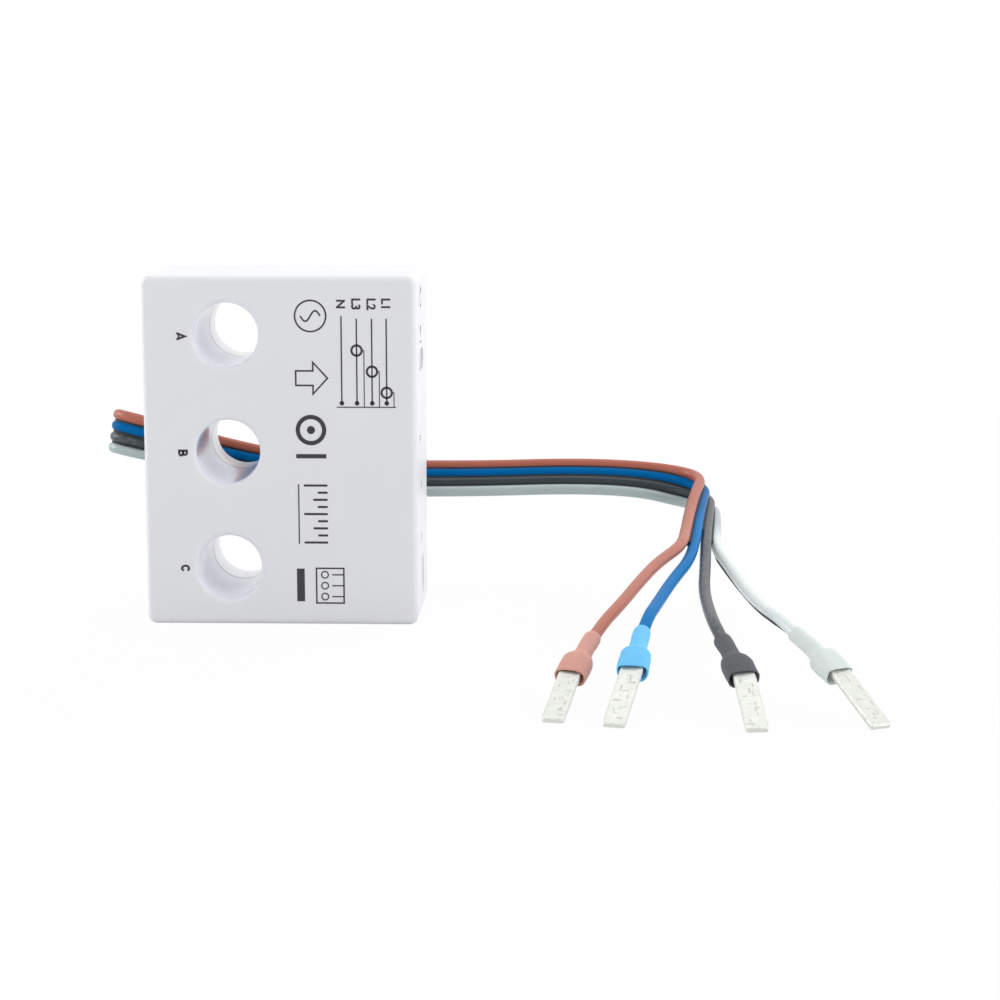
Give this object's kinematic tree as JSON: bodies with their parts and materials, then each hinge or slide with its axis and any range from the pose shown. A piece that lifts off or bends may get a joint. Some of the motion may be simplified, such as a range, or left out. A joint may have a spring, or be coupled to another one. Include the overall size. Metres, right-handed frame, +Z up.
{
  "type": "three-phase energy meter",
  "caption": "Slim box-shaped energy meter with three through bores for phase cables, a recessed reset button, two status lights and a ribbon cable that splits into leads with flat prongs.",
  "frame": {"origin": "centre of the housing's footprint, on the surface that it stands on", "axes": "+Z up along the row of bores, +Y along the bores away from the lettered face, +X from the cable side towards the button side"},
  "size_m": [0.116, 0.0977, 0.0534],
  "materials": {
    "housing": "fine satin white",
    "button": "satin white",
    "bush": "satin",
    "light_pipe": "clear, polished",
    "led": "gloss",
    "board": "solder mask",
    "copper": "enamelled wire",
    "dark_plastic": "satin",
    "former": "satin",
    "ferrite": "matt",
    "can_sleeve": "printed sleeve",
    "varistor": "dipped coat",
    "resistor": "lacquer",
    "shield": "tinned",
    "wire_core": "tinned strands in insulation",
    "prong": "tinned, pressed texture",
    "wire_brown": "satin insulation",
    "wire_blue": "satin insulation",
    "wire_black": "satin insulation",
    "wire_grey": "satin insulation",
    "sleeve_brown": "shrunk sleeve",
    "sleeve_blue": "shrunk sleeve",
    "sleeve_black": "shrunk sleeve",
    "sleeve_grey": "shrunk sleeve"
  },
  "bodies": {
    "meter": {"antenna": "shield", "bulk_capacitor": "can_sleeve", "burden_resistors": "dark_plastic", "cable_bush": "bush", "choke": "ferrite", "ct_carrier_a": "dark_plastic", "ct_carrier_b": "dark_plastic", "ct_carrier_c": "dark_plastic", "ct_coil_a": "copper", "ct_coil_b": "copper", "ct_coil_c": "copper", "front_shell": "housing", "fuse_resistor": "resistor", "light_pipe_lower": "light_pipe", "light_pipe_upper": "light_pipe", "main_board": "board", "metering_chip": "dark_plastic", "output_capacitor": "can_sleeve", "prong_black": "prong", "prong_blue": "prong", "prong_brown": "prong", "prong_grey": "prong", "radio_module": "board", "radio_shield": "shield", "rear_cover": "housing", "rectifier": "dark_plastic", "reset_switch": "dark_plastic", "sleeve_black": "sleeve_black", "sleeve_blue": "sleeve_blue", "sleeve_brown": "sleeve_brown", "sleeve_grey": "sleeve_grey", "status_led_lower": "led", "status_led_upper": "led", "supply_chip": "dark_plastic", "transformer_bobbin": "former", "transformer_core": "ferrite", "varistor": "varistor", "wire_black": "wire_black", "wire_blue": "wire_blue", "wire_brown": "wire_brown", "wire_grey": "wire_grey", "wire_tails": "wire_core"},
    "button": {"reset_button": "button", "switch_plunger": "dark_plastic"}
  },
  "joints": [
    {"name": "reset_press", "type": "slide", "parent": "meter", "child": "button", "axis": [-1, 0, 0], "range_m": [0, 0.0004], "stiffness_N_per_m": 300, "springref_m": -0.0005}
  ]
}
